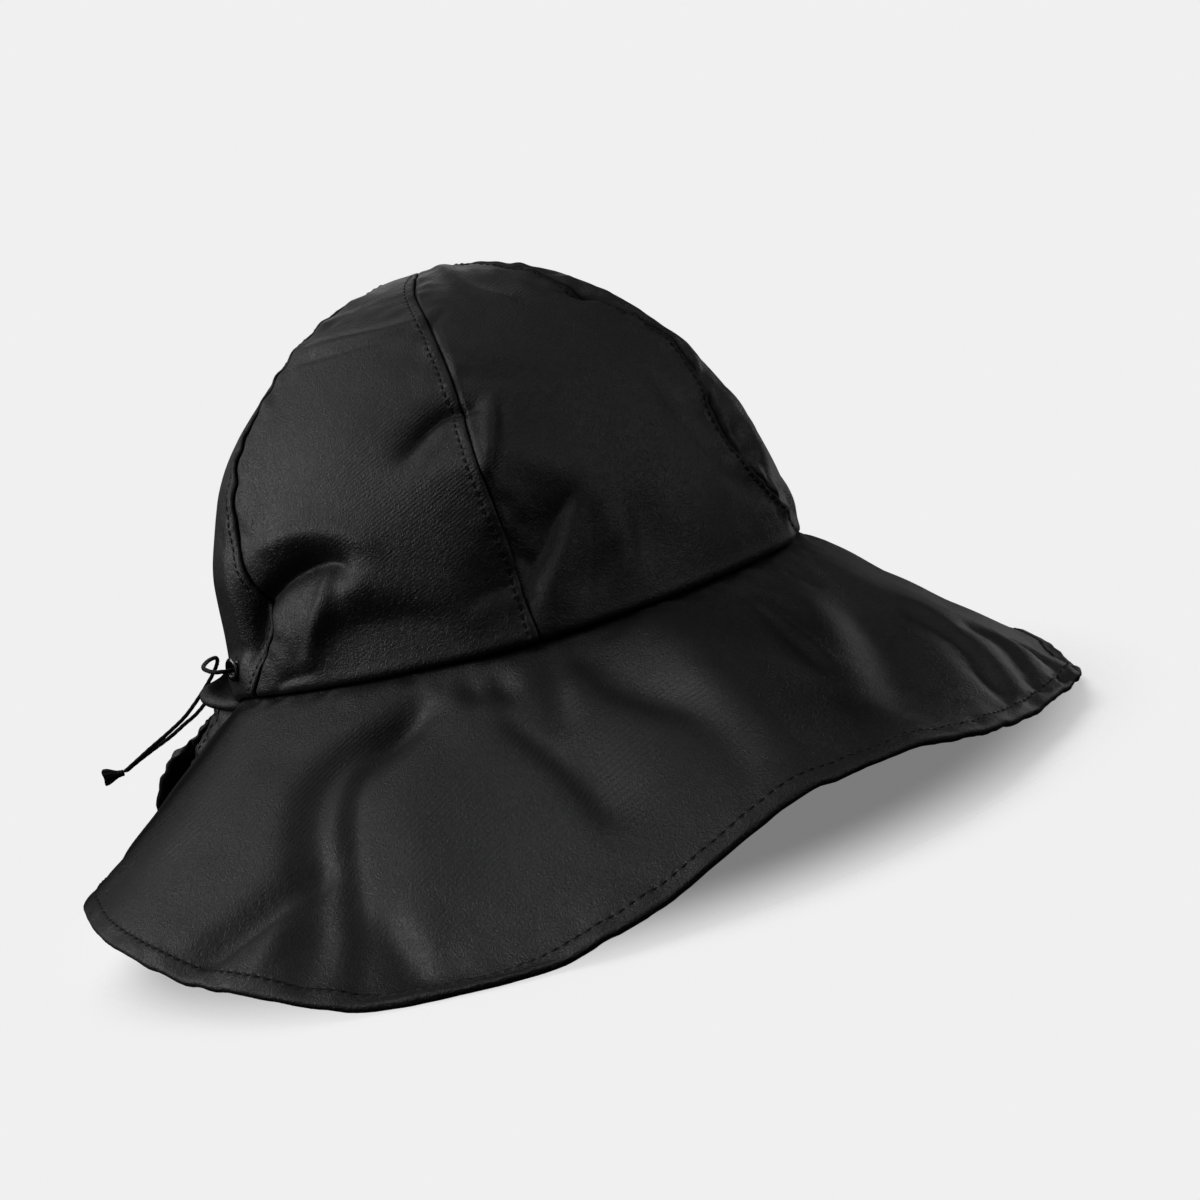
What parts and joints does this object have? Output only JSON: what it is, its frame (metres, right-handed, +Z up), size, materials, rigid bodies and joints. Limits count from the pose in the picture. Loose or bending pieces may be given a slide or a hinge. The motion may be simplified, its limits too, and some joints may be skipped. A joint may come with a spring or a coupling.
{
  "type": "rain hat",
  "caption": "Soft waterproof hat with a six-panel crown, a wide sloping brim split at the back, and a draw cord through two eyelets.",
  "frame": {"origin": "on the surface that the hat stands on, under the middle of its footprint", "axes": "+X to the front of the hat, +Y to the wearer's left, +Z up through the crown"},
  "size_m": [0.3147, 0.3388, 0.1765],
  "materials": {
    "coated_fabric": "black polyurethane-coated cloth, semi-matte with a soft sheen",
    "eyelet_metal": "gloss black",
    "cord_fabric": "waxed black cord"
  },
  "bodies": {
    "root": {"panel_front": "coated_fabric", "panel_left_front": "coated_fabric", "panel_left_back": "coated_fabric", "panel_back": "coated_fabric", "panel_right_back": "coated_fabric", "panel_right_front": "coated_fabric", "brim": "coated_fabric", "eyelet_right": "eyelet_metal", "eyelet_left": "eyelet_metal", "cord_right": "cord_fabric", "cord_left": "cord_fabric", "cord_knot": "cord_fabric"}
  },
  "joints": []
}
